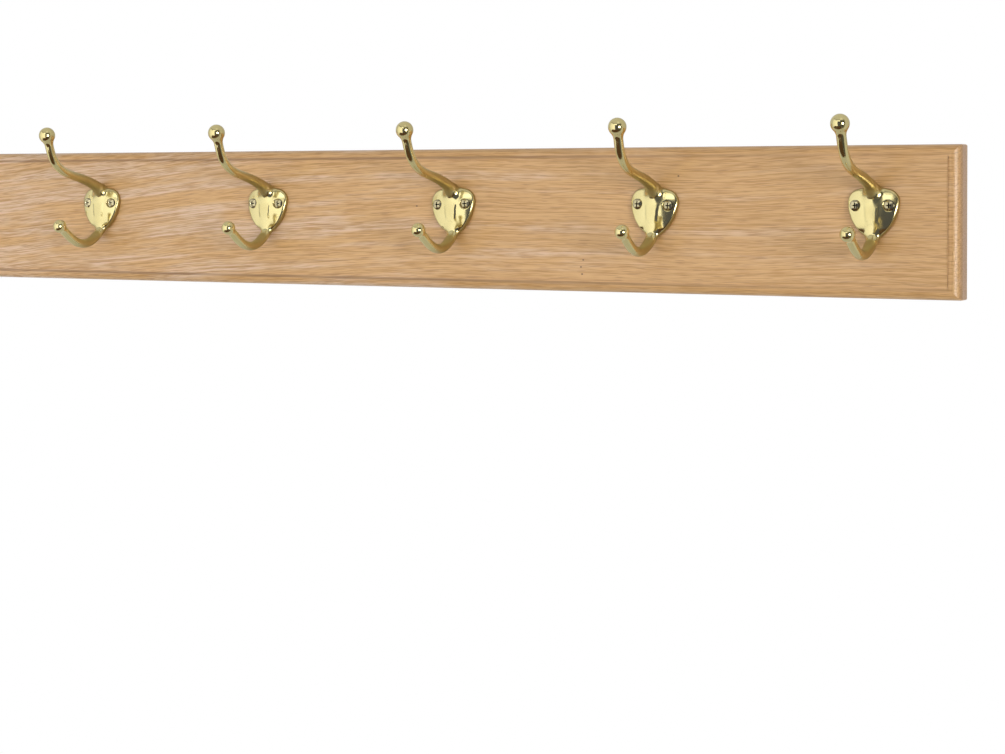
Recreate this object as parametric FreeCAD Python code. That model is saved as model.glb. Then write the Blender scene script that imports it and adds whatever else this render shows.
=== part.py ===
"""Wall rack: a long oak board with a routed edge and a row of cast brass double coat hooks.

Frame: millimetres. X runs along the board, Y is into the wall, Z is up.
The origin is the middle of the board's back, which lies flat on the wall at Y = 0.
The hooks stand out towards -Y.
"""
import FreeCAD, Part
import math
import os

os.makedirs("parts", exist_ok=True)

Vec = FreeCAD.Vector

# ---------------------------------------------------------------- board
BOARD_HEIGHT = 114.3            # 4 1/2 in stock
BOARD_THICKNESS = 19.05         # 3/4 in stock
BOARD_END_MARGIN = 62.0         # from the last hook's middle to the end of the board
BOARD_CORNER_RADIUS = 1.5       # the four short corners, eased by sanding

# moulding routed round all four edges of the front: a small step, a land and a round-over
STEP_DEPTH = 1.2
STEP_LAND = 1.5
ROUND_OVER_RADIUS = 7.5

# ---------------------------------------------------------------- row of hooks
HOOK_COUNT = 6
HOOK_SPACING = 180.4
HOOK_SCREW_LEVEL = 12.2         # the hooks' screws above the middle of the board

# The hooks are screwed on by eye, so each sits a little off its even place.
HOOK_SLIPS = (0.0, -0.4, -1.2, 1.4, 1.0, -2.5)      # along the board
HOOK_TURNS = (0.0, 0.0, 0.0, -1.9, 2.8, 0.0)        # degrees clockwise, seen from the front

# ---------------------------------------------------------------- hook: back plate
# Heights on a hook are from the line through its two screws.
PLATE_WIDTH = 40.0
PLATE_SHOULDER_LEVEL = 2.5      # where the plate is widest
PLATE_SHOULDER_RADIUS = 9.8
PLATE_TOP_SLOPE = 12.0          # degrees, from each shoulder up to the peak
PLATE_SIDE_RADIUS = 36.0        # the long curve from a shoulder down to the tip
PLATE_SIDE_START = 6.0          # degrees below level where the shoulder hands over to the side
PLATE_RIM = 2.8                 # thickness at the shoulders, where the plate is thinnest
PLATE_DOME_RADIUS = 52.0
PLATE_DOME_LEVEL = -6.2         # the dome's middle
PLATE_EDGE_ROUND = 2.3          # rounding of the front edge

# ---------------------------------------------------------------- hook: upper arm
UPPER_ROOT_LEVEL = 7.9
UPPER_ROOT_WIDTH = 15.0
UPPER_ROOT_DEPTH = 16.0
UPPER_LEAVE_ANGLE = 40.0        # degrees above level as it leaves the plate
UPPER_LEAVE_REACH = 35.0        # how far the leaving direction is held
UPPER_ARM_WIDTH = 7.6
UPPER_ARM_DEPTH = 7.8
UPPER_FLARE_HALVING = 8.0       # the root's extra size halves in this length of arm
UPPER_ARRIVE_ANGLE = 72.0       # degrees above level as it comes to the ball
UPPER_ARRIVE_REACH = 33.0
UPPER_NECK_DIAMETER = 7.4
UPPER_NECK_LENGTH = 12.0        # from the end of the arm to the ball's middle
UPPER_NECK_FILLET = 8.0
UPPER_BALL_DIAMETER = 14.0
UPPER_BALL_OUT = 75.9           # ball's middle in front of the board
UPPER_BALL_LEVEL = 58.6

# ---------------------------------------------------------------- hook: lower arm
LOWER_ROOT_LEVEL = -19.4
LOWER_ROOT_WIDTH = 16.5
LOWER_ROOT_DEPTH = 5.6
LOWER_LEAVE_ANGLE = -52.5
LOWER_LEAVE_REACH = 36.8
LOWER_ARM_WIDTH = 8.2
LOWER_ARM_DEPTH = 7.8
LOWER_FLARE_HALVING = 6.0
LOWER_ARRIVE_ANGLE = 36.0
LOWER_ARRIVE_REACH = 11.0
LOWER_NECK_DIAMETER = 7.8
LOWER_NECK_LENGTH = 9.0
LOWER_NECK_FILLET = 6.0
LOWER_BALL_DIAMETER = 11.6
LOWER_BALL_OUT = 59.4
LOWER_BALL_LEVEL = -20.3

ARM_SECTIONS = 8                # ovals that each arm is drawn through
NECK_SECTIONS = 2               # more of them, from the end of the arm to the ball's middle
OVAL_POINTS = 8                 # points that each oval passes through
ROOT_FILLET = 1.5               # where an arm grows out of the dome
ROOT_SINK = 6.0                 # each arm starts this far back, inside the plate's back face

# ---------------------------------------------------------------- hook screws, No. 8 x 3/4 in
SCREW_SPACING = 26.0
SCREW_HEAD_DIAMETER = 8.2
SCREW_SHANK_DIAMETER = 4.2
SCREW_LENGTH = 19.0             # from the head's rim to the point
SCREW_OVAL_RISE = 1.1           # the domed top of the head
SCREW_POINT_LENGTH = 4.0
SCREW_CONE_ANGLE = 82.0         # degrees, whole angle of the countersink
SCREW_CROSS_SPAN = 4.6
SCREW_CROSS_WIDTH = 1.0
SCREW_CROSS_DEPTH = 2.2

# ---------------------------------------------------------------- keyhole hangers let into the back
HANGER_COUNT = 2
HANGER_SPACING = 812.8          # 32 in, so that each meets a wall stud
HANGER_DROP = 31.15             # from the board's top edge down to the hanger's middle
HANGER_LENGTH = 44.5
HANGER_WIDTH = 15.9
HANGER_THICKNESS = 1.6
HANGER_SETBACK = 0.3            # below the face of the back, so that the board lies flat
KEYHOLE_ENTRY_DIAMETER = 10.0
KEYHOLE_SLOT_WIDTH = 5.0
KEYHOLE_TRAVEL = 11.0           # from the entry hole's middle up to the slot's end
KEYHOLE_ENTRY_DROP = 5.0        # the entry hole's middle below the hanger's middle
HEAD_POCKET_WIDTH = 11.0        # room in the wood for the wall screw's head
HEAD_POCKET_DEPTH = 7.0

# ---------------------------------------------------------------- hanger screws, No. 6 x 1/2 in
HANGER_SCREW_INSET = 5.25       # from each end of a hanger to its screw's middle
HANGER_SCREW_HEAD_DIAMETER = 5.6
HANGER_SCREW_SHANK_DIAMETER = 3.0
HANGER_SCREW_LENGTH = 12.7
HANGER_SCREW_POINT_LENGTH = 3.0
HANGER_SCREW_CROSS_SPAN = 3.2
HANGER_SCREW_CROSS_WIDTH = 0.8
HANGER_SCREW_CROSS_DEPTH = 1.2

# ---------------------------------------------------------------- fits
SCREW_CLEARANCE = 0.1           # round a shank and under a head, each side
HANGER_CLEARANCE = 0.2          # round a hanger in its recess
CUTTER_SPARE = 1.0              # how far a cutter runs on past what it takes off
RIM_TOLERANCE = 0.005           # an edge nearer than this to the plate's rim is part of it

# ---------------------------------------------------------------- worked out
BOARD_LENGTH = HOOK_SPACING * (HOOK_COUNT - 1) + 2 * BOARD_END_MARGIN
BOARD_FRONT = -BOARD_THICKNESS
SHOULDER_OFF_AXIS = math.hypot(PLATE_WIDTH / 2, PLATE_SHOULDER_LEVEL - PLATE_DOME_LEVEL)
DOME_RISE = PLATE_DOME_RADIUS - math.sqrt(PLATE_DOME_RADIUS**2 - SHOULDER_OFF_AXIS**2)
PLATE_CROWN = PLATE_RIM + DOME_RISE
HANGER_LEVEL = BOARD_HEIGHT / 2 - HANGER_DROP
HANGER_SCREW_SPACING = HANGER_LENGTH - 2 * HANGER_SCREW_INSET


def in_front(side, out, up):
    """Point at a distance out in front of Y = 0."""
    return Vec(side, -out, up)


def row(count, spacing):
    """Places along X of count things, evenly spaced about the middle."""
    return [spacing * (index - (count - 1) / 2) for index in range(count)]


def hook_places():
    """Each hook's X, and the turn that its plate was screwed on with."""
    places = []
    for index, hook_x in enumerate(row(HOOK_COUNT, HOOK_SPACING)):
        slip = HOOK_SLIPS[index % len(HOOK_SLIPS)]
        turn = HOOK_TURNS[index % len(HOOK_TURNS)]
        places.append((hook_x + slip, turn))
    return places


def set_on_board(shape, hook_x, turn):
    """Move a shape made about a hook's screw line to its place on the board's front."""
    placed = shape.copy()
    placed.rotate(Vec(0, 0, 0), Vec(0, 1, 0), turn)
    return placed.translated(Vec(hook_x, BOARD_FRONT, HOOK_SCREW_LEVEL))


def save(name, shape):
    shape.exportStep(os.path.join("parts", name + ".step"))


# ---------------------------------------------------------------- screws
def spun(outline, axis_point, axis):
    """Solid of revolution of a closed list of edges."""
    return Part.Face(Part.Wire(outline)).revolve(axis_point, axis, 360)


def cross_recess(span, width, depth, top):
    """Tapered cross, cut down from the height top."""
    blades = None
    for size_x, size_y in ((span, width), (width, span)):
        blade = Part.makeBox(size_x, size_y, depth, Vec(-size_x / 2, -size_y / 2, top - depth))
        blades = blade if blades is None else blades.fuse(blade)
    taper = Part.makeCone(width / 2, span / 2, depth, Vec(0, 0, top - depth))
    return blades.common(taper)


def countersunk_screw(head_d, shank_d, length, rise, point_length, cross):
    """Screw along Z with the rim of its head at Z = 0 and its point down."""
    head_r = head_d / 2
    shank_r = shank_d / 2
    cone_depth = (head_r - shank_r) / math.tan(math.radians(SCREW_CONE_ANGLE / 2))
    corners = [
        Vec(0, 0, -length),
        Vec(shank_r, 0, point_length - length),
        Vec(shank_r, 0, -cone_depth),
        Vec(head_r, 0, 0),
    ]
    outline = [Part.makeLine(a, b) for a, b in zip(corners, corners[1:])]
    if rise > 0:
        crown = Vec(0, 0, rise)
        crown_radius = (head_r**2 + rise**2) / (2 * rise)
        half_way = math.asin(head_r / crown_radius) / 2
        shoulder = Vec(crown_radius * math.sin(half_way), 0, rise - crown_radius * (1 - math.cos(half_way)))
        outline.append(Part.Arc(corners[-1], shoulder, crown).toShape())
    else:
        crown = Vec(0, 0, 0)
        outline.append(Part.makeLine(corners[-1], crown))
    outline.append(Part.makeLine(crown, corners[0]))
    body = spun(outline, Vec(0, 0, 0), Vec(0, 0, 1))
    return body.cut(cross_recess(*cross, rise))


def countersunk_hole(head_d, shank_d, front, depth):
    """Cutter along Z for a screw with its rim at Z = 0: open above, and depth deep."""
    head_r = head_d / 2 + SCREW_CLEARANCE
    shank_r = shank_d / 2 + SCREW_CLEARANCE
    cone_depth = (head_r - shank_r) / math.tan(math.radians(SCREW_CONE_ANGLE / 2))
    mouth = Part.makeCylinder(head_r, front, Vec(0, 0, 0))
    cone = Part.makeCone(shank_r, head_r, cone_depth, Vec(0, 0, -cone_depth))
    shank = Part.makeCylinder(shank_r, depth, Vec(0, 0, -depth))
    return mouth.fuse([cone, shank])


def turned(shape, towards_front):
    """Lay a shape made along Z so that its top faces the front (-Y) or the wall (+Y)."""
    laid = shape.copy()
    laid.rotate(Vec(0, 0, 0), Vec(1, 0, 0), 90 if towards_front else -90)
    return laid


# ---------------------------------------------------------------- hook
def dome_front(side, up):
    """How far the plate's domed front stands out at a place on it."""
    off_axis = math.hypot(side, up - PLATE_DOME_LEVEL)
    return PLATE_CROWN - PLATE_DOME_RADIUS + math.sqrt(PLATE_DOME_RADIUS**2 - off_axis**2)


SCREW_SEAT = dome_front(SCREW_SPACING / 2, 0)


def plate_outline():
    """Shield outline at Y = 0: peaked top, round shoulders, long sides drawn in to a tip."""
    shoulder = Vec(PLATE_WIDTH / 2 - PLATE_SHOULDER_RADIUS, 0, PLATE_SHOULDER_LEVEL)
    start = math.radians(PLATE_SIDE_START)
    slope = math.radians(PLATE_TOP_SLOPE)

    def on_shoulder(angle):
        return shoulder + Vec(math.cos(angle), 0, math.sin(angle)) * PLATE_SHOULDER_RADIUS

    side_middle = shoulder - Vec(math.cos(start), 0, -math.sin(start)) * (
        PLATE_SIDE_RADIUS - PLATE_SHOULDER_RADIUS
    )

    def on_side(angle):
        return side_middle + Vec(math.cos(angle), 0, -math.sin(angle)) * PLATE_SIDE_RADIUS

    top_end = math.pi / 2 - slope
    tip_angle = math.acos(-side_middle.x / PLATE_SIDE_RADIUS)
    shoulder_top = on_shoulder(top_end)
    peak = Vec(0, 0, shoulder_top.z + shoulder_top.x * math.tan(slope))
    half = [
        Part.makeLine(peak, shoulder_top),
        Part.Arc(shoulder_top, on_shoulder((top_end - start) / 2), on_shoulder(-start)).toShape(),
        Part.Arc(on_shoulder(-start), on_side((start + tip_angle) / 2), on_side(tip_angle)).toShape(),
    ]
    other_half = [edge.mirror(Vec(0, 0, 0), Vec(1, 0, 0)) for edge in half]
    return Part.Wire(Part.__sortEdges__(half + other_half))


def back_plate():
    slab = Part.Face(plate_outline()).extrude(in_front(0, PLATE_CROWN, 0))
    dome_middle = in_front(0, PLATE_CROWN - PLATE_DOME_RADIUS, PLATE_DOME_LEVEL)
    plate = slab.common(Part.makeSphere(PLATE_DOME_RADIUS, dome_middle))
    rim = []
    for edge in plate.Edges:
        box = edge.BoundBox
        if box.YMax < -PLATE_EDGE_ROUND / 2 and box.XLength + box.ZLength > PLATE_EDGE_ROUND:
            rim.append(edge)
    return plate.makeFillet(PLATE_EDGE_ROUND, rim)


def oval(middle, along, width, depth):
    """Closed oval square to along: width sideways, depth in the plane of the arm."""
    sideways = Vec(1, 0, 0) * (width / 2)
    across = along.cross(Vec(1, 0, 0)) * (depth / 2)
    points = []
    for step in range(OVAL_POINTS):
        angle = 2 * math.pi * step / OVAL_POINTS
        points.append(middle + sideways * math.cos(angle) + across * math.sin(angle))
    ring = Part.BSplineCurve()
    ring.interpolate(points, PeriodicFlag=True)
    return Part.Wire(ring.toShape())


def arm(root_level, root_size, leave, arm_size, flare_halving, arrive, neck, ball):
    """One arm: ovals along a smooth curve from the plate into the middle of its ball."""
    leave_angle, leave_reach = leave
    arrive_angle, arrive_reach = arrive
    neck_d, neck_length, neck_fillet = neck
    ball_d, ball_out, ball_level = ball

    def direction(angle):
        return in_front(0, math.cos(math.radians(angle)), math.sin(math.radians(angle)))

    root = in_front(0, 0, root_level)
    ball_middle = in_front(0, ball_out, ball_level)
    final = direction(arrive_angle)
    end = ball_middle - final * neck_length
    line = Part.BezierCurve()
    line.setPoles([
        root,
        root + direction(leave_angle) * leave_reach,
        end - final * arrive_reach,
        end,
    ])
    length = line.length()
    start = direction(leave_angle)
    ovals = [oval(root - start * ROOT_SINK, start, *root_size)]
    for number in range(ARM_SECTIONS):
        travel = length * number / (ARM_SECTIONS - 1)
        at = line.parameterAtDistance(travel, 0)
        flare = 0.5 ** (travel / flare_halving)
        taper = travel / length
        sizes = []
        for root_part, arm_part in zip(root_size, arm_size):
            plain = arm_part + (neck_d - arm_part) * taper
            sizes.append(plain + (root_part - arm_part) * flare)
        along = line.tangent(at)[0]
        ovals.append(oval(line.value(at), along, *sizes))
    for number in range(NECK_SECTIONS):
        travel = neck_length * (number + 1) / NECK_SECTIONS
        ovals.append(oval(end + final * travel, final, neck_d, neck_d))
    ball_end = Part.makeSphere(ball_d / 2)
    ball_end.Placement = FreeCAD.Placement(ball_middle, FreeCAD.Rotation(Vec(0, 0, 1), final))
    whole = Part.makeLoft(ovals, True, False).fuse(ball_end)
    ball_face = min(spheres(whole), key=lambda face: face.Surface.Radius)
    neck_edges = [edge for edge in ball_face.Edges if not edge.isSeam(ball_face) and not edge.Degenerated]
    return whole.makeFillet(neck_fillet, neck_edges)


def spheres(shape):
    """The shape's ball-shaped faces: the balls themselves and the plate's dome."""
    return [face for face in shape.Faces if isinstance(face.Surface, Part.Sphere)]


def dome_face(shape):
    """The plate's domed front."""
    return max(spheres(shape), key=lambda face: face.Surface.Radius)


def root_edges(casting, plate):
    """Where the arms grow out of the dome: its edges that aren't part of its own rim."""
    rim = dome_face(plate).OuterWire
    edges = []
    for edge in dome_face(casting).Edges:
        middle = edge.valueAt((edge.FirstParameter + edge.LastParameter) / 2)
        if rim.distToShape(Part.Vertex(middle))[0] > RIM_TOLERANCE:
            edges.append(edge)
    return edges


def make_hook():
    """Double hook, cast in one piece, with the middle of its screw line at the origin."""
    upper = arm(
        UPPER_ROOT_LEVEL,
        (UPPER_ROOT_WIDTH, UPPER_ROOT_DEPTH),
        (UPPER_LEAVE_ANGLE, UPPER_LEAVE_REACH),
        (UPPER_ARM_WIDTH, UPPER_ARM_DEPTH),
        UPPER_FLARE_HALVING,
        (UPPER_ARRIVE_ANGLE, UPPER_ARRIVE_REACH),
        (UPPER_NECK_DIAMETER, UPPER_NECK_LENGTH, UPPER_NECK_FILLET),
        (UPPER_BALL_DIAMETER, UPPER_BALL_OUT, UPPER_BALL_LEVEL),
    )
    lower = arm(
        LOWER_ROOT_LEVEL,
        (LOWER_ROOT_WIDTH, LOWER_ROOT_DEPTH),
        (LOWER_LEAVE_ANGLE, LOWER_LEAVE_REACH),
        (LOWER_ARM_WIDTH, LOWER_ARM_DEPTH),
        LOWER_FLARE_HALVING,
        (LOWER_ARRIVE_ANGLE, LOWER_ARRIVE_REACH),
        (LOWER_NECK_DIAMETER, LOWER_NECK_LENGTH, LOWER_NECK_FILLET),
        (LOWER_BALL_DIAMETER, LOWER_BALL_OUT, LOWER_BALL_LEVEL),
    )
    plate = back_plate()
    casting = plate.fuse([upper, lower])
    box = casting.BoundBox
    behind = Part.makeBox(box.XLength, box.YMax + CUTTER_SPARE, box.ZLength, Vec(box.XMin, 0, box.ZMin))
    casting = casting.cut(behind)
    casting = casting.makeFillet(ROOT_FILLET, root_edges(casting, plate))
    hole = turned(
        countersunk_hole(SCREW_HEAD_DIAMETER, SCREW_SHANK_DIAMETER, PLATE_CROWN, SCREW_LENGTH), True
    )
    for side in row(2, SCREW_SPACING):
        casting = casting.cut(hole.translated(in_front(side, SCREW_SEAT, 0)))
    return casting


# ---------------------------------------------------------------- keyhole hanger
def slot_face(width, bottom, top):
    """Upright slot outline at Y = 0 with round ends, between two end middles."""
    r = width / 2
    edges = [
        Part.makeLine(Vec(-r, 0, bottom), Vec(-r, 0, top)),
        Part.Arc(Vec(-r, 0, top), Vec(0, 0, top + r), Vec(r, 0, top)).toShape(),
        Part.makeLine(Vec(r, 0, top), Vec(r, 0, bottom)),
        Part.Arc(Vec(r, 0, bottom), Vec(0, 0, bottom - r), Vec(-r, 0, bottom)).toShape(),
    ]
    return Part.Face(Part.Wire(edges))


def slot_block(width, bottom, top, depth):
    """The slot outline made solid from Y = 0 forward into the board."""
    return slot_face(width, bottom, top).extrude(in_front(0, depth, 0))


KEYHOLE_BOTTOM = -KEYHOLE_ENTRY_DROP
KEYHOLE_TOP = KEYHOLE_BOTTOM + KEYHOLE_TRAVEL


def make_hanger():
    """Steel keyhole plate, its middle at the origin and its wall side at Y = 0."""
    half_straight = (HANGER_LENGTH - HANGER_WIDTH) / 2
    plate = slot_block(HANGER_WIDTH, -half_straight, half_straight, HANGER_THICKNESS)
    entry = Part.makeCylinder(
        KEYHOLE_ENTRY_DIAMETER / 2, HANGER_THICKNESS, Vec(0, 0, KEYHOLE_BOTTOM), Vec(0, -1, 0)
    )
    slot = slot_block(KEYHOLE_SLOT_WIDTH, KEYHOLE_BOTTOM, KEYHOLE_TOP, HANGER_THICKNESS)
    plate = plate.cut(entry.fuse(slot))
    hole = turned(
        countersunk_hole(
            HANGER_SCREW_HEAD_DIAMETER, HANGER_SCREW_SHANK_DIAMETER, HANGER_THICKNESS, HANGER_THICKNESS
        ),
        False,
    )
    for up in row(2, HANGER_SCREW_SPACING):
        plate = plate.cut(hole.translated(Vec(0, 0, up)))
    return plate


def hanger_recess():
    """What is routed and drilled out of the back for one hanger, from Y = 0 forward."""
    floor = HANGER_SETBACK + HANGER_THICKNESS
    half_straight = (HANGER_LENGTH - HANGER_WIDTH) / 2
    recess = slot_block(HANGER_WIDTH + 2 * HANGER_CLEARANCE, -half_straight, half_straight, floor)
    pocket = slot_block(HEAD_POCKET_WIDTH, KEYHOLE_BOTTOM, KEYHOLE_TOP, floor + HEAD_POCKET_DEPTH)
    cutters = [pocket]
    for up in row(2, HANGER_SCREW_SPACING):
        cutters.append(
            Part.makeCylinder(
                HANGER_SCREW_SHANK_DIAMETER / 2 + SCREW_CLEARANCE,
                HANGER_SETBACK + HANGER_SCREW_LENGTH + SCREW_CLEARANCE,
                Vec(0, 0, up),
                Vec(0, -1, 0),
            )
        )
    return recess.fuse(cutters)


# ---------------------------------------------------------------- board
def edge_waste(length):
    """What the router takes off one long edge: a bar along X, its corner at the origin.

    The bar lies under the board's lower front edge, with the board above and behind it.
    """
    width = STEP_LAND + ROUND_OVER_RADIUS
    depth = STEP_DEPTH + ROUND_OVER_RADIUS
    over = BOARD_THICKNESS
    round_middle = Vec(0, depth, ROUND_OVER_RADIUS)
    slant = ROUND_OVER_RADIUS * math.sqrt(0.5)
    foot = Vec(0, depth, 0)
    land_start = Vec(0, STEP_DEPTH, ROUND_OVER_RADIUS)
    land_end = Vec(0, STEP_DEPTH, width)
    face = Vec(0, 0, width)
    outside = [Vec(0, -over, width), Vec(0, -over, -over), Vec(0, depth, -over)]
    edges = [
        Part.Arc(foot, round_middle - Vec(0, slant, slant), land_start).toShape(),
        Part.makeLine(land_start, land_end),
        Part.makeLine(land_end, face),
    ]
    corners = [face] + outside + [foot]
    edges += [Part.makeLine(a, b) for a, b in zip(corners, corners[1:])]
    bar = Part.Face(Part.Wire(edges)).extrude(Vec(length + 2 * over, 0, 0))
    return bar.translated(Vec(-length / 2 - over, 0, 0))


def make_board():
    board = Part.makeBox(
        BOARD_LENGTH,
        BOARD_THICKNESS,
        BOARD_HEIGHT,
        Vec(-BOARD_LENGTH / 2, BOARD_FRONT, -BOARD_HEIGHT / 2),
    )
    short_corners = [edge for edge in board.Edges if edge.BoundBox.YLength > BOARD_THICKNESS / 2]
    board = board.makeFillet(BOARD_CORNER_RADIUS, short_corners)
    for turn, length, reach in (
        (0, BOARD_LENGTH, BOARD_HEIGHT),
        (90, BOARD_HEIGHT, BOARD_LENGTH),
        (180, BOARD_LENGTH, BOARD_HEIGHT),
        (270, BOARD_HEIGHT, BOARD_LENGTH),
    ):
        waste = edge_waste(length)
        waste.translate(Vec(0, BOARD_FRONT, -reach / 2))
        waste.rotate(Vec(0, 0, 0), Vec(0, 1, 0), turn)
        board = board.cut(waste)
    pilot = Part.makeCylinder(
        SCREW_SHANK_DIAMETER / 2 + SCREW_CLEARANCE,
        SCREW_LENGTH + SCREW_CLEARANCE - SCREW_SEAT,
        Vec(0, 0, 0),
        Vec(0, 1, 0),
    )
    for hook_x, turn in hook_places():
        for side in row(2, SCREW_SPACING):
            board = board.cut(set_on_board(pilot.translated(in_front(side, 0, 0)), hook_x, turn))
    recess = hanger_recess()
    for hanger_x in row(HANGER_COUNT, HANGER_SPACING):
        board = board.cut(recess.translated(Vec(hanger_x, 0, HANGER_LEVEL)))
    return board


# ---------------------------------------------------------------- put together
save("board", make_board())

hook = make_hook()
hook_screw = turned(
    countersunk_screw(
        SCREW_HEAD_DIAMETER,
        SCREW_SHANK_DIAMETER,
        SCREW_LENGTH,
        SCREW_OVAL_RISE,
        SCREW_POINT_LENGTH,
        (SCREW_CROSS_SPAN, SCREW_CROSS_WIDTH, SCREW_CROSS_DEPTH),
    ),
    True,
)
for number, (hook_x, turn) in enumerate(hook_places(), 1):
    save(f"hook_{number}", set_on_board(hook, hook_x, turn))
    for hand, side in zip(("left", "right"), row(2, SCREW_SPACING)):
        seated = hook_screw.translated(in_front(side, SCREW_SEAT, 0))
        save(f"hook_{number}_screw_{hand}", set_on_board(seated, hook_x, turn))

hanger = make_hanger()
hanger_screw = turned(
    countersunk_screw(
        HANGER_SCREW_HEAD_DIAMETER,
        HANGER_SCREW_SHANK_DIAMETER,
        HANGER_SCREW_LENGTH,
        0,
        HANGER_SCREW_POINT_LENGTH,
        (HANGER_SCREW_CROSS_SPAN, HANGER_SCREW_CROSS_WIDTH, HANGER_SCREW_CROSS_DEPTH),
    ),
    False,
)
for number, hanger_x in enumerate(row(HANGER_COUNT, HANGER_SPACING), 1):
    place = in_front(hanger_x, HANGER_SETBACK, HANGER_LEVEL)
    save(f"hanger_{number}", hanger.translated(place))
    for hand, up in zip(("lower", "upper"), row(2, HANGER_SCREW_SPACING)):
        save(f"hanger_{number}_screw_{hand}", hanger_screw.translated(place + Vec(0, 0, up)))
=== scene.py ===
"""Wall rack: a long oak board with a moulded edge and a row of cast brass double hooks."""
import math

import bpy
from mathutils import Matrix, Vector


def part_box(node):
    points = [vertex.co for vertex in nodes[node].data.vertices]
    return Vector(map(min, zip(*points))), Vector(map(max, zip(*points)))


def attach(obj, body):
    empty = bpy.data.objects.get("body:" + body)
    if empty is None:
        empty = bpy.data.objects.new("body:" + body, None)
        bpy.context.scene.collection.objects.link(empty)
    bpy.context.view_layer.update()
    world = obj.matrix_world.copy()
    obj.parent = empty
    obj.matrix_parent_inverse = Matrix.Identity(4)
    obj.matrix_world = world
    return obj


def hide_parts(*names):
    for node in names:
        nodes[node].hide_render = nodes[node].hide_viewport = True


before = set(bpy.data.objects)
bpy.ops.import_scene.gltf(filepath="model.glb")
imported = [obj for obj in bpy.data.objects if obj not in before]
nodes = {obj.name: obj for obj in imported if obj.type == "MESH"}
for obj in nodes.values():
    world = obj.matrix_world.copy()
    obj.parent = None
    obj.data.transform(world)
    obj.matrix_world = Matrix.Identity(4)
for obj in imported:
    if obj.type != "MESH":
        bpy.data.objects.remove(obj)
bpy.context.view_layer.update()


# ---------------------------------------------------------------- board
# One plank of red oak, planed and sanded, its front edges routed with a small step and a
# round-over. It is finished with a satin clear coat, and pores and pin knots show through. It
# hangs on the wall by the plates in its back and carries all the rest.
MM = 0.001
OAK_PINK = (0.698, 0.486, 0.322)
OAK_GOLD = (0.640, 0.376, 0.154)
OAK_STREAK = (0.415, 0.208, 0.044)
OAK_PORE = (0.300, 0.145, 0.045)
# painted shade for the inner corner of the routed step
OAK_STEP_SHADE = (0.225, 0.105, 0.030)
OAK_KNOT = (0.045, 0.022, 0.010)
END_GRAIN = (0.80, 0.78, 0.88)  # what the sawn ends multiply the colour by
END_DEPTH = 4 * MM              # how far in from each end that reaches
RING_SHOW = 0.17                # how strongly rings, pores and knots darken the wood
PORE_SHOW = 0.50
KNOT_SHOW = 0.90
HEART_BEHIND = 60 * MM          # the middle of the tree, behind and below the board
HEART_BELOW = 95 * MM
RING_SPACING = 3.0 * MM
RING_WAVER = 2.6                # in rings
GRAIN_CLIMB = 40 * MM           # how far the grain climbs from the left end to the middle
GRAIN_WANDER = 14 * MM
END_TO_STEP = 9.1 * MM          # from the plank's outline in to the step's inner corner
SIDE_TO_STEP = 7.1 * MM
STEP_DEPTH = 5 * MM             # the routed step lies nearer the front than this
# width of the painted shade along the step's corner
STEP_SHADE_WIDTH = 1.7 * MM
OAK_RELIEF = 0.12 * MM
PIT_DEPTH = 9.0                 # beside the relief of the pores on the face
OAK_SHEEN = (0.36, 0.50)        # roughness of the wood, from its smooth cells to its open ones
COAT = 0.6                      # how much clear coat lies over it
COAT_SHEEN = 0.18
COAT_ON_CUT = 0.14              # how much rougher the coat is where the edge is cut
KNOT_SIZE = 0.9 * MM
KNOT_STRETCH = (0.75, 0.0, 1.0)
PIN_KNOTS = ((56, 10.4), (291, 34.5), (209, -31.8), (207, -37.4), (208, -43))


def new_material(name):
    material = bpy.data.materials.new(name)
    material.use_nodes = True
    tree = material.node_tree
    return material, tree, tree.nodes["Principled BSDF"]


def join_terms(tree, made, terms):
    """Puts each term, a number, a triple or another node's output, in a node's next socket."""
    for socket, term in zip(made.inputs, terms):
        if isinstance(term, (int, float, tuple)):
            socket.default_value = term
        else:
            tree.links.new(term, socket)


def maths(tree, operation, *terms):
    """One sum. Each term is a number or another node's output."""
    made = tree.nodes.new("ShaderNodeMath")
    made.operation = operation
    join_terms(tree, made, terms)
    return made.outputs[0]


def vector_maths(tree, operation, *terms):
    """The same for vectors. Each term is a triple or another node's output."""
    made = tree.nodes.new("ShaderNodeVectorMath")
    made.operation = operation
    join_terms(tree, made, terms)
    return made.outputs["Value" if operation in ("LENGTH", "DISTANCE") else "Vector"]


def times(tree, first, second):
    """Product of two masks or numbers."""
    return maths(tree, "MULTIPLY", first, second)


def greatest(tree, first, *others):
    """The greatest of several masks or numbers."""
    for other in others:
        first = maths(tree, "MAXIMUM", first, other)
    return first


def between(tree, value, low, high, out_low=0.0, out_high=1.0, smooth=True):
    """Value brought from the range low-high to a new range, held at its ends."""
    made = tree.nodes.new("ShaderNodeMapRange")
    made.interpolation_type = "SMOOTHSTEP" if smooth else "LINEAR"
    tree.links.new(value, made.inputs["Value"])
    for name, number in (
        ("From Min", low), ("From Max", high), ("To Min", out_low), ("To Max", out_high)
    ):
        made.inputs[name].default_value = number
    return made.outputs["Result"]


def noise(tree, place, stretch, detail=2.0, roughness=0.5):
    """Cloudy pattern with so many patches to the metre along each axis."""
    made = tree.nodes.new("ShaderNodeTexNoise")
    tree.links.new(vector_maths(tree, "MULTIPLY", place, stretch), made.inputs["Vector"])
    made.inputs["Scale"].default_value = 1.0
    made.inputs["Detail"].default_value = detail
    made.inputs["Roughness"].default_value = roughness
    return made.outputs["Fac"]


def blend(tree, factor, first, second, mode="MIX"):
    """Two colours mixed. Each colour is a triple or another node's output."""
    made = tree.nodes.new("ShaderNodeMix")
    made.data_type = "RGBA"
    made.blend_type = mode
    tree.links.new(factor, made.inputs[0])
    for socket, colour in ((made.inputs[6], first), (made.inputs[7], second)):
        if isinstance(colour, tuple):
            socket.default_value = (*colour, 1.0)
        else:
            tree.links.new(colour, socket)
    return made.outputs[2]


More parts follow.
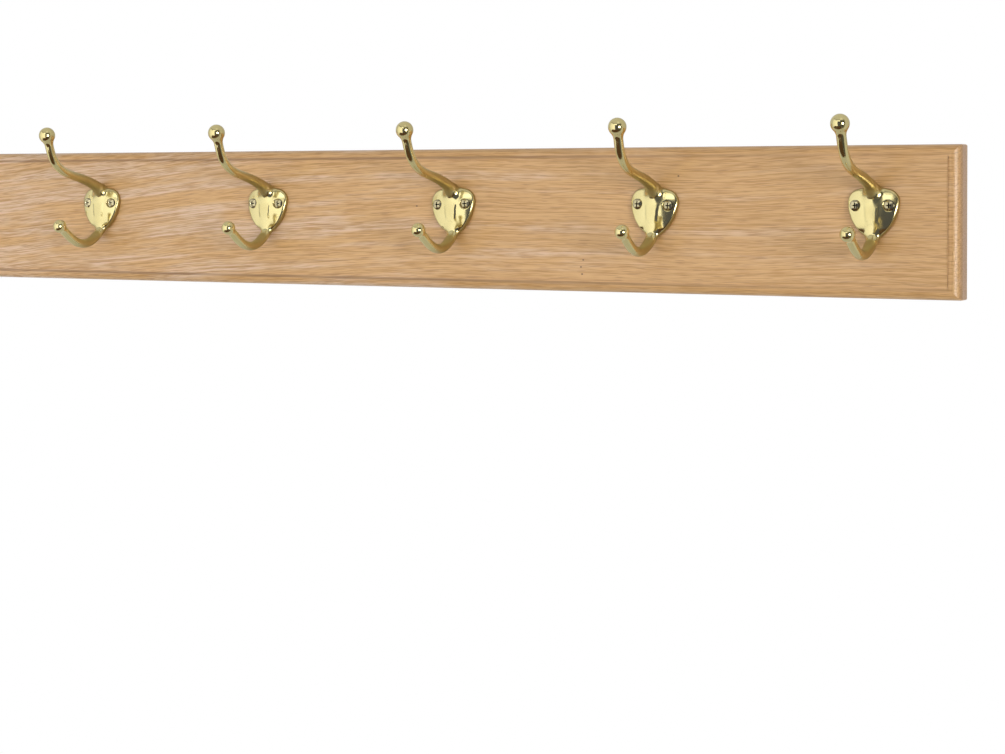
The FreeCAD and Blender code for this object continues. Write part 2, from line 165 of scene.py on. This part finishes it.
def relief(tree, height, strength, distance):
    """Bump from a height."""
    made = tree.nodes.new("ShaderNodeBump")
    made.inputs["Strength"].default_value = strength
    made.inputs["Distance"].default_value = distance
    tree.links.new(height, made.inputs["Height"])
    return made.outputs["Normal"]


def split(tree, vector):
    """The X, Y and Z of a vector."""
    made = tree.nodes.new("ShaderNodeSeparateXYZ")
    tree.links.new(vector, made.inputs[0])
    return made.outputs


def object_place(tree):
    return tree.nodes.new("ShaderNodeTexCoord").outputs["Object"]


def object_facing(tree):
    """The X, Y and Z of the way that the surface faces."""
    return split(tree, tree.nodes.new("ShaderNodeTexCoord").outputs["Normal"])


def growth_rings(tree, place):
    """0 in the dense late wood and 1 in the open early wood of each year's ring."""
    across = vector_maths(tree, "MULTIPLY", place, (0.0, 1.0, 1.0))
    radius = vector_maths(tree, "DISTANCE", across, (0.0, HEART_BEHIND, -HEART_BELOW))
    uneven = noise(tree, place, (3.0, 40.0, 40.0), 3.0, 0.6)
    years = maths(tree, "DIVIDE", radius, RING_SPACING)
    years = maths(tree, "MULTIPLY_ADD", uneven, RING_WAVER, years)
    part_year = maths(tree, "FRACT", years)
    spring = between(tree, part_year, 0.0, 0.18)
    summer = between(tree, part_year, 0.25, 0.85, 1.0, 0.0)
    return times(tree, spring, summer)


def pin_knots(tree, place):
    """Small dark marks at a few places on the front."""
    marks = []
    for across, up in PIN_KNOTS:
        off = vector_maths(tree, "SUBTRACT", place, (across * MM, 0.0, up * MM))
        off = vector_maths(tree, "MULTIPLY", off, KNOT_STRETCH)
        away = vector_maths(tree, "LENGTH", off)
        marks.append(between(tree, away, 0.3 * KNOT_SIZE, KNOT_SIZE, 1.0, 0.0))
    return greatest(tree, *marks)


def step_corner(tree, place):
    """1 along the inner corner of the routed step, on all four sides of the front."""
    low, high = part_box("board")
    apart = vector_maths(tree, "SUBTRACT", vector_maths(tree, "ABSOLUTE", place), tuple(high))
    gap = split(tree, apart)
    from_end = maths(tree, "ADD", gap["X"], END_TO_STEP)
    from_side = maths(tree, "ADD", gap["Z"], SIDE_TO_STEP)
    off = maths(tree, "ABSOLUTE", greatest(tree, from_end, from_side))
    line = between(tree, off, 0.2 * STEP_SHADE_WIDTH, STEP_SHADE_WIDTH, 1.0, 0.0)
    back = low.y + STEP_DEPTH
    return times(tree, line, between(tree, split(tree, place)["Y"], back, back - 1 * MM))


def oak():
    """Plain-sawn red oak in the round. Places along the plank are in metres from its middle."""
    material, tree, surface = new_material("oak satin clear")
    link = tree.links.new
    place = object_place(tree)
    along = split(tree, place)["X"]

    # the grain climbs towards the middle of the plank, and wanders a little on its way
    climb = between(tree, along, -0.56, 0.10, GRAIN_CLIMB, 0.0)
    wander = maths(tree, "SUBTRACT", noise(tree, place, (5.0, 4.0, 6.0), 1.0), 0.5)
    shift = tree.nodes.new("ShaderNodeCombineXYZ")
    link(maths(tree, "MULTIPLY_ADD", wander, GRAIN_WANDER, climb), shift.inputs["Z"])
    grain = vector_maths(tree, "ADD", place, shift.outputs[0])
    early = growth_rings(tree, grain)

    # drawn-out cells: short dashes, long streaks, and pores gathered in the early wood
    dashes = noise(tree, grain, (55.0, 800.0, 1800.0), 1.0, 0.6)
    lengths = noise(tree, grain, (9.0, 550.0, 1200.0), 2.0, 0.6)
    pores = noise(tree, grain, (60.0, 800.0, 1300.0), 1.0, 0.6)
    limit = between(tree, early, 0.0, 1.0, 0.64, 0.54, smooth=False)
    pore = times(tree, maths(tree, "SUBTRACT", pores, limit), 9.0)
    pore = maths(tree, "MINIMUM", greatest(tree, pore, 0.0), 1.0)

    # broad bands, pinker towards the left end of the plank and more golden towards the right
    bands = noise(tree, grain, (2.4, 62.0, 70.0), 3.0, 0.55)
    mottles = noise(tree, grain, (16.0, 90.0, 120.0), 2.0, 0.55)
    bands = maths(tree, "MULTIPLY_ADD", mottles, 0.40, times(tree, bands, 0.70))
    lean = between(tree, along, -0.45, 0.50, -0.03, 0.09, smooth=False)
    gold = between(tree, maths(tree, "ADD", bands, lean), 0.44, 0.62)
    end = between(tree, along, 0.05, 0.55, 0.0, 0.60)
    gold = maths(tree, "MULTIPLY_ADD", end, maths(tree, "SUBTRACT", 1.0, gold), gold)
    colour = blend(tree, gold, OAK_PINK, OAK_GOLD)

    # the streaks, rings, pores and knots darken it in turn
    streaks = maths(tree, "MULTIPLY_ADD", dashes, 0.55, times(tree, lengths, 0.45))
    dark = between(tree, streaks, 0.44, 0.62)
    dark = times(tree, dark, between(tree, along, -0.25, 0.15, 0.84, 0.70))
    for mask, darker in (
        (dark, OAK_STREAK),
        (times(tree, early, RING_SHOW), OAK_STREAK),
        (times(tree, pore, PORE_SHOW), OAK_PORE),
        (times(tree, pin_knots(tree, place), KNOT_SHOW), OAK_KNOT),
    ):
        colour = blend(tree, mask, colour, darker)

    # painted shade along the corner of the routed step, streaky and weaker towards the right end,
    # and finish soaks into the two sawn ends
    step_shade_fade = between(tree, along, 0.05, 0.48, 0.82, 0.20)
    step_shade_fade = times(tree, step_shade_fade, between(tree, lengths, 0.35, 0.60, 0.60, 1.0))
    step_shade = times(tree, step_corner(tree, place), step_shade_fade)
    colour = blend(tree, step_shade, colour, OAK_STEP_SHADE)
    turned = maths(tree, "ABSOLUTE", object_facing(tree)["X"])
    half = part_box("board")[1].x
    off_middle = maths(tree, "ABSOLUTE", along)
    outermost = between(tree, off_middle, half - END_DEPTH, half - 0.5 * END_DEPTH)
    end_grain = times(tree, between(tree, turned, 0.80, 0.98), outermost)
    colour = blend(tree, end_grain, colour, END_GRAIN, "MULTIPLY")
    link(colour, surface.inputs["Base Color"])

    # where the edge is routed across the grain its open vessels show as pits
    cut = between(tree, turned, 0.08, 0.50)
    pits = times(tree, noise(tree, place, (160.0, 900.0, 650.0), 1.0), cut)
    height = maths(tree, "MULTIPLY_ADD", pore, -1.0, times(tree, streaks, 0.6))
    height = maths(tree, "MULTIPLY_ADD", pits, PIT_DEPTH, height)
    link(relief(tree, height, 0.05, OAK_RELIEF), surface.inputs["Normal"])
    link(between(tree, lengths, 0.3, 0.7, *OAK_SHEEN), surface.inputs["Roughness"])
    surface.inputs["Coat Weight"].default_value = COAT
    coat_sheen = maths(tree, "MULTIPLY_ADD", cut, COAT_ON_CUT, COAT_SHEEN)
    link(coat_sheen, surface.inputs["Coat Roughness"])
    return material


def dress(names, material):
    """Gives the solids of those names their material."""
    for name in names:
        nodes[name].data.materials.clear()
        nodes[name].data.materials.append(material)


dress(["board"], oak())


# ---------------------------------------------------------------- hooks
# Each is one brass casting, polished and lacquered: a domed shield-shaped plate with a long upper
# and a short lower arm, each ending in a ball. A low rib joins the roots, and fettling has drawn
# every crease out soft, so one casting is worked over here and then copied to its six places.
BRASS = (0.850, 0.750, 0.380)
BRASS_DEEP = (0.780, 0.660, 0.290)
BRASS_SKIN_AND_SHADE = (0.410, 0.295, 0.095)      # unpolished skin, and painted shade where it faces the board or down, at the rim and roots
BRASS_RELIEF = 0.12 * MM
BRASS_SHEEN = (0.10, 0.17)      # roughness of the polished face, from clear to clouded
SKIN_SHEEN = 0.45               # how much rougher the skin is
LACQUER = 0.3
LACQUER_SHEEN = 0.05
SKIN_CELL = 0.4 * MM            # size of the faces that the worked casting is made of
RIB_HEIGHT = 0.55 * MM
RIB_TOP = 4.0 * MM              # heights are from the line through the two screws
RIB_BOTTOM = -21.0 * MM
RIB_HALF_WIDTH = 3.6 * MM
RIB_FLARE = 1.15                # times that width at the top
RIB_TAPER = 0.65                # times that width lost by the bottom
RIB_SIDE = 2.0 * MM             # over which its sides fall away
BACK_EDGE = 1.0 * MM            # the edge of the plate next to the board stays as it is
ARM_STARTS = 9.0 * MM           # in front of the board; the plate lies nearer than this
UPPER_ROOT = (8.0 * MM, 8.5 * MM, 11.0 * MM)        # out, level, and how far round it is worked
LOWER_ROOT = (6.0 * MM, -20.5 * MM, 10.0 * MM)
ROOT_SHARES = (1.0, 0.85, 0.7)  # of that reach, round by round
ROOT_PASSES = 80
LAST_PASSES = 3
RIM_FADES = (6 * MM, 9 * MM)    # how far out from the board the skin and painted shade in each place fade
ROOT_FADES = (24 * MM, 48 * MM)
BEHIND_FADES = (25 * MM, 60 * MM)
BENEATH_FADES = (30 * MM, 52 * MM)
ROOT_STARTS = (7 * MM, 11 * MM)     # how far out the skin and painted shade in the roots come up
UPPER_HALF = (0.0, 15 * MM)     # heights over which the upper arm's half of the board begins
hooks = sorted(name for name in nodes if name.startswith("hook_") and "screw" not in name)


def screw_middles(name):
    """Middles of a hook's left and right screws, in the plane of the board."""
    middles = []
    for side in ("left", "right"):
        low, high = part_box(name + "_screw_" + side)
        middles.append(((low.x + high.x) / 2, (low.z + high.z) / 2))
    return middles


def hook_place(name):
    """Middle of a hook's screw line, and how far it is turned."""
    (left_x, left_z), (right_x, right_z) = screw_middles(name)
    turn = math.atan2(right_z - left_z, right_x - left_x)
    return (left_x + right_x) / 2, (left_z + right_z) / 2, turn


def only(piece):
    """Makes the piece the only one that operators act on."""
    bpy.ops.object.select_all(action="DESELECT")
    piece.select_set(True)
    bpy.context.view_layer.objects.active = piece


def pick(piece, wanted):
    """Selects the vertices that wanted says, and opens the piece for editing."""
    only(piece)
    mesh = piece.data
    mesh.polygons.foreach_set("select", [False] * len(mesh.polygons))
    mesh.edges.foreach_set("select", [False] * len(mesh.edges))
    mesh.vertices.foreach_set("select", [wanted(vertex.co) for vertex in mesh.vertices])
    bpy.ops.object.mode_set(mode="EDIT")


def put_down():
    """Closes the piece again after editing."""
    bpy.ops.object.mode_set(mode="OBJECT")


def worked_casting():
    """The first hook's casting, its rib raised and its creases drawn out. It stands upright."""
    middle_x, middle_z, _ = hook_place(hooks[0])
    board_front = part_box("board")[0].y
    piece = bpy.data.objects.new("casting", nodes[hooks[0]].data.copy())
    bpy.context.scene.collection.objects.link(piece)
    pick(piece, lambda place: True)
    bpy.ops.mesh.remove_doubles(threshold=0.001 * MM)
    bpy.ops.mesh.normals_make_consistent(inside=False)
    put_down()
    skin = piece.modifiers.new("skin", "REMESH")
    skin.mode = "VOXEL"
    skin.use_smooth_shade = True
    skin.voxel_size = SKIN_CELL
    bpy.ops.object.modifier_apply(modifier="skin")

    def on_rib(place):
        level = place.z - middle_z
        out = board_front - place.y
        part = (RIB_TOP - level) / (RIB_TOP - RIB_BOTTOM)
        if not 0.0 < part < 1.0 or not BACK_EDGE < out < ARM_STARTS:
            return False
        return abs(place.x - middle_x) < RIB_HALF_WIDTH * (RIB_FLARE - RIB_TAPER * part ** 2)

    pick(piece, on_rib)
    bpy.ops.transform.translate(
        value=(0.0, -RIB_HEIGHT, 0.0),
        use_proportional_edit=True,
        proportional_edit_falloff="SMOOTH",
        proportional_size=RIB_SIDE,
    )
    put_down()

    for share in ROOT_SHARES:
        for out, level, reach in (UPPER_ROOT, LOWER_ROOT):
            root = Vector((middle_x, board_front - out, middle_z + level))
            pick(piece, lambda place: (place - root).length < reach * share)
            bpy.ops.mesh.vertices_smooth(factor=0.5, repeat=ROOT_PASSES)
            put_down()
    pick(piece, lambda place: True)
    bpy.ops.mesh.vertices_smooth(factor=0.5, repeat=LAST_PASSES)
    put_down()
    bpy.ops.object.shade_smooth()
    return piece


def handling():
    """Node group of what wheel and hand leave on metal: clouds, slow waves, fine lines and grit."""
    group = bpy.data.node_groups.new("handling", "ShaderNodeTree")
    place = object_place(group)
    made = group.nodes.new("NodeGroupOutput")
    for name, stretch, detail in (
        ("Cloud", (60.0, 60.0, 60.0), 3.0),
        ("Wave", (110.0, 110.0, 90.0), 1.0),
        ("Line", (900.0, 900.0, 30.0), 1.0),
        ("Grit", (1500.0, 1500.0, 1500.0), 2.0),
    ):
        group.interface.new_socket(name=name, in_out="OUTPUT", socket_type="NodeSocketFloat")
        group.links.new(noise(group, place, stretch, detail, 0.55), made.inputs[name])
    return group


def handled(tree):
    """The handling group placed in a material."""
    made = tree.nodes.new("ShaderNodeGroup")
    made.node_tree = bpy.data.node_groups.get("handling") or handling()
    return made.outputs


def wheel_missed_and_shade(tree, place):
    """Up to 1 where the wheel doesn't reach and where shade is painted: behind, beneath, at the
    plate's rim and the roots.
    """
    facing = object_facing(tree)
    parts = split(tree, place)
    out = maths(tree, "SUBTRACT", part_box("board")[0].y, parts["Y"])
    upper = between(tree, parts["Z"], *UPPER_HALF)
    behind = times(
        tree,
        between(tree, facing["Y"], -0.80, 0.20, 0.0, 0.85),
        between(tree, out, *BEHIND_FADES, 1.0, 0.50),
    )
    # on the lower half what faces down is left bright, and on the upper half it gets painted shade
    # too
    behind_shaded_here = greatest(tree, upper, between(tree, facing["Z"], -0.6, 0.0))
    behind = times(tree, behind, behind_shaded_here)
    beneath = times(
        tree,
        between(tree, facing["Z"], -0.20, -0.70, 0.0, 0.85),
        between(tree, out, *BENEATH_FADES, 1.0, 0.0),
    )
    beneath = times(tree, beneath, upper)
    rim = times(
        tree,
        between(tree, facing["Y"], -0.88, -0.50, 0.0, 0.90),
        between(tree, out, *RIM_FADES, 1.0, 0.0),
    )
    root = times(
        tree,
        between(tree, out, *ROOT_STARTS),
        between(tree, out, *ROOT_FADES, 0.80, 0.0),
    )
    return greatest(tree, behind, rim, beneath, root)


def brass():
    material, tree, surface = new_material("polished brass")
    link = tree.links.new
    marks = handled(tree)
    missed_and_shade = wheel_missed_and_shade(tree, object_place(tree))
    colour = blend(tree, marks["Cloud"], BRASS, BRASS_DEEP)
    # the skin colour is also painted shade and darker reflection where the casting faces the board
    # or down, at its rim and roots
    link(blend(tree, missed_and_shade, colour, BRASS_SKIN_AND_SHADE), surface.inputs["Base Color"])
    height = maths(tree, "MULTIPLY_ADD", marks["Line"], 0.05, marks["Wave"])
    gritty = times(tree, times(tree, marks["Grit"], missed_and_shade), 0.10)
    height = maths(tree, "ADD", height, gritty)
    link(relief(tree, height, 1.0, BRASS_RELIEF), surface.inputs["Normal"])
    polish = between(tree, marks["Cloud"], 0.3, 0.7, *BRASS_SHEEN)
    link(maths(tree, "MULTIPLY_ADD", missed_and_shade, SKIN_SHEEN, polish), surface.inputs["Roughness"])
    surface.inputs["Metallic"].default_value = 1.0
    surface.inputs["Coat Weight"].default_value = LACQUER
    surface.inputs["Coat Roughness"].default_value = LACQUER_SHEEN
    return material


def six_hooks():
    casting = worked_casting()
    casting.data.materials.clear()
    casting.data.materials.append(brass())
    first_x, first_z, first_turn = hook_place(hooks[0])
    for name in hooks:
        middle_x, middle_z, turn = hook_place(name)
        piece = bpy.data.objects.new(name + "_casting", casting.data.copy())
        bpy.context.scene.collection.objects.link(piece)
        pick(piece, lambda place: True)
        bpy.ops.transform.translate(value=(middle_x - first_x, 0.0, middle_z - first_z))
        bpy.ops.transform.rotate(
            value=turn - first_turn, orient_axis="Y", center_override=(middle_x, 0.0, middle_z)
        )
        put_down()
        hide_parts(name)
        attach(piece, "root")
    bpy.data.objects.remove(casting)


six_hooks()


# ---------------------------------------------------------------- screws
# Oval-head wood screws with a cross recess, two to a hook, driven through the plate. They are
# nickel plated; the plating has yellowed a little, and dirt with painted shade darkens the cross
# and the rim.
NICKEL = (0.720, 0.640, 0.400)
NICKEL_DULL = (0.480, 0.415, 0.235)
SCREW_DIRT_AND_SHADE = (0.030, 0.022, 0.012)
HEAD_RISE = 1.1 * MM            # from the rim of the head to its crown
NICKEL_RELIEF = 0.03 * MM
NICKEL_SHEEN = (0.12, 0.24)


def nickel():
    material, tree, surface = new_material("nickel plate")
    link = tree.links.new
    marks = handled(tree)
    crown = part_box(hooks[0] + "_screw_left")[0].y
    depth = maths(tree, "SUBTRACT", split(tree, object_place(tree))["Y"], crown)
    # dirt and painted shade, deeper in the cross and at the rim of the head
    dirt_and_shade = between(tree, depth, 0.70 * HEAD_RISE, 1.05 * HEAD_RISE, 0.0, 0.95)
    colour = blend(tree, marks["Cloud"], NICKEL, NICKEL_DULL)
    link(blend(tree, dirt_and_shade, colour, SCREW_DIRT_AND_SHADE), surface.inputs["Base Color"])
    height = maths(tree, "MULTIPLY_ADD", marks["Grit"], 0.2, marks["Line"])
    link(relief(tree, height, 0.5, NICKEL_RELIEF), surface.inputs["Normal"])
    link(between(tree, marks["Cloud"], 0.3, 0.7, *NICKEL_SHEEN), surface.inputs["Roughness"])
    surface.inputs["Metallic"].default_value = 1.0
    return material


dress([name for name in nodes if name.startswith("hook_") and "screw" in name], nickel())


# ---------------------------------------------------------------- hangers
# Two keyhole plates pressed from steel strip and let flush into the back, each held by two short
# screws. All are zinc plated, with the faint spangle and blue cast of bright plating.
ZINC = (0.640, 0.660, 0.690)
ZINC_DULL = (0.500, 0.510, 0.530)
SPANGLE = 450.0                 # crystals to the metre
ZINC_RELIEF = 0.03 * MM
ZINC_SHEEN = (0.26, 0.46)


def zinc():
    material, tree, surface = new_material("zinc plate")
    link = tree.links.new
    marks = handled(tree)
    crystals = tree.nodes.new("ShaderNodeTexVoronoi")
    link(object_place(tree), crystals.inputs["Vector"])
    crystals.inputs["Scale"].default_value = SPANGLE
    shade = tree.nodes.new("ShaderNodeSeparateColor")
    link(crystals.outputs["Color"], shade.inputs[0])
    cloud = times(tree, marks["Cloud"], 0.5)
    mixed = maths(tree, "MULTIPLY_ADD", shade.outputs[0], 0.5, cloud)
    link(blend(tree, mixed, ZINC, ZINC_DULL), surface.inputs["Base Color"])
    link(between(tree, mixed, 0.2, 0.8, *ZINC_SHEEN), surface.inputs["Roughness"])
    height = maths(tree, "MULTIPLY_ADD", marks["Grit"], 0.3, marks["Line"])
    link(relief(tree, height, 0.6, ZINC_RELIEF), surface.inputs["Normal"])
    surface.inputs["Metallic"].default_value = 1.0
    return material


dress([name for name in nodes if name.startswith("hanger_")], zinc())


# ---------------------------------------------------------------- studio
# The camera sees white all round, and a white floor well below the rack. The light comes from
# walls, a lamp and white sheets that are painted in the world. Two dark cards, one upright
# beside the camera and one lying low, show only in reflections.
FLOOR_BELOW = 1.6               # metres, as are the sizes and places of the cards
FLOOR_SIZE = 3.0
FLOOR_WHITE = (0.8, 0.8, 0.8)
MATT = 0.9                      # roughness of the floor and the cards
FLAG_AWAY = 1.85
FLAG_LEFT, FLAG_RIGHT = 0.14, 1.15
FLAG_BOTTOM, FLAG_TOP = -1.1, 0.75
FLAG_BLUE_BLACK = (0.12, 0.13, 0.19)
TABLE_BELOW = 0.85
TABLE_LEFT, TABLE_RIGHT = -1.10, 1.00
TABLE_NEAR, TABLE_FAR = 0.36, 1.50
TABLE_BROWN = (0.12, 0.055, 0.020)
GLOOM = 0.08                    # level where nothing is lit; a wall is about 1
# each wall's left, right, bottom and top, in degrees round from straight out and up from level,
# and how soft its edges are
WALLS = (
    (-130, -42, -78, 36, 4.0),
    (-48, -14, -78, 32, 4.0),
    (-20, 18, -60, 20, 3.0),
)
# the same with a level of its own: the lamp, a sheet over the third wall, one over the camera
LAMPS = (
    (42, 60, -10, 7, 3.0, 16.0),
    (-14, 18, 22, 33, 3.0, 1.9),
    (20, 60, 38, 70, 5.0, 0.80),
)
SENSOR = 36.0                   # the camera's sensor and lens, in millimetres
LENS = 77.02
LENS_SHIFT = -0.155
CAMERA_PLACE = (0.95995, -1.54927, 0.02386)
CAMERA_DIP = 0.84               # degrees below level
CAMERA_TURN = 28.29             # degrees round from straight on


def studio_world():
    world = bpy.data.worlds.new("studio")
    bpy.context.scene.world = world
    world.use_nodes = True
    tree = world.node_tree
    link = tree.links.new
    background = tree.nodes["Background"]
    way = split(tree, tree.nodes.new("ShaderNodeTexCoord").outputs["Generated"])
    azimuth = maths(tree, "ARCTAN2", way["X"], times(tree, way["Y"], -1.0))
    azimuth = maths(tree, "DEGREES", azimuth)
    height = maths(tree, "DEGREES", maths(tree, "ARCSINE", way["Z"]))

    def patch(left, right, bottom, top, soft, level):
        """Bright patch of the surroundings."""
        across = times(
            tree,
            between(tree, azimuth, left - soft, left + soft),
            between(tree, azimuth, right - soft, right + soft, 1.0, 0.0),
        )
        upright = times(
            tree,
            between(tree, height, bottom - soft, bottom + soft),
            between(tree, height, top - soft, top + soft, 1.0, 0.0),
        )
        return times(tree, times(tree, across, upright), level)

    ceiling = between(tree, height, 22.0, 50.0, 0.0, 0.60)
    ground = between(tree, height, -82.0, -70.0, 0.66, 0.0)
    behind = between(tree, maths(tree, "ABSOLUTE", azimuth), 66.0, 92.0, 0.0, 0.62)
    level = greatest(tree, ceiling, ground, behind, GLOOM)
    wall_level = between(tree, azimuth, -66.0, -5.0, 0.94, 1.32, smooth=False)
    wall_level = times(tree, wall_level, between(tree, azimuth, -84.0, -64.0, 0.60, 1.0))
    level = greatest(tree, level, *[patch(*wall, wall_level) for wall in WALLS])
    level = greatest(tree, level, *[patch(*lamp) for lamp in LAMPS])
    seen = tree.nodes.new("ShaderNodeLightPath").outputs["Is Camera Ray"]
    lit = maths(tree, "MULTIPLY_ADD", level, maths(tree, "SUBTRACT", 1.0, seen), seen)
    background.inputs["Color"].default_value = (1.0, 1.0, 1.0, 1.0)
    link(lit, background.inputs["Strength"])


def studio_floor():
    bpy.ops.object.select_all(action="DESELECT")
    bpy.ops.mesh.primitive_plane_add(size=FLOOR_SIZE, location=(0.0, 0.0, -FLOOR_BELOW))
    floor = bpy.context.object
    floor.name = "studio_floor"
    material, tree, surface = new_material("studio white")
    surface.inputs["Base Color"].default_value = (*FLOOR_WHITE, 1.0)
    surface.inputs["Roughness"].default_value = MATT
    glow = tree.nodes.new("ShaderNodeEmission")
    mixed = tree.nodes.new("ShaderNodeMixShader")
    seen = tree.nodes.new("ShaderNodeLightPath").outputs["Is Camera Ray"]
    join_terms(tree, mixed, (seen, surface.outputs[0], glow.outputs[0]))
    tree.links.new(mixed.outputs[0], tree.nodes["Material Output"].inputs["Surface"])
    floor.data.materials.append(material)


def studio_card(name, size, place, tilt, colour):
    """Dark card that shows only in reflections."""
    bpy.ops.object.select_all(action="DESELECT")
    bpy.ops.mesh.primitive_plane_add(size=1.0)
    card = bpy.context.object
    card.name = name
    card.dimensions = (*size, 0.0)
    card.rotation_euler = (math.radians(tilt), 0.0, 0.0)
    card.location = place
    card.visible_camera = False
    card.visible_diffuse = False
    card.visible_shadow = False
    material, _, surface = new_material(name)
    surface.inputs["Base Color"].default_value = (*colour, 1.0)
    surface.inputs["Roughness"].default_value = MATT
    card.data.materials.append(material)


def studio_flag():
    """Blue-black card, upright beside the camera."""
    size = (FLAG_RIGHT - FLAG_LEFT, FLAG_TOP - FLAG_BOTTOM)
    place = ((FLAG_LEFT + FLAG_RIGHT) / 2, -FLAG_AWAY, (FLAG_BOTTOM + FLAG_TOP) / 2)
    studio_card("studio_flag", size, place, 90, FLAG_BLUE_BLACK)


def studio_table():
    """Brown table top, low in front of the rack."""
    size = (TABLE_RIGHT - TABLE_LEFT, TABLE_FAR - TABLE_NEAR)
    place = ((TABLE_LEFT + TABLE_RIGHT) / 2, -(TABLE_NEAR + TABLE_FAR) / 2, -TABLE_BELOW)
    studio_card("studio_table", size, place, 0, TABLE_BROWN)


def studio_camera():
    data = bpy.data.cameras.new("camera")
    data.sensor_width = SENSOR
    data.lens = LENS
    data.shift_y = LENS_SHIFT
    camera = bpy.data.objects.new("camera", data)
    bpy.context.scene.collection.objects.link(camera)
    camera.location = CAMERA_PLACE
    camera.rotation_euler = (math.radians(90 - CAMERA_DIP), 0.0, math.radians(CAMERA_TURN))
    bpy.context.scene.camera = camera


studio_world()
studio_floor()
studio_flag()
studio_table()
studio_camera()
bpy.context.scene.view_settings.view_transform = "Standard"
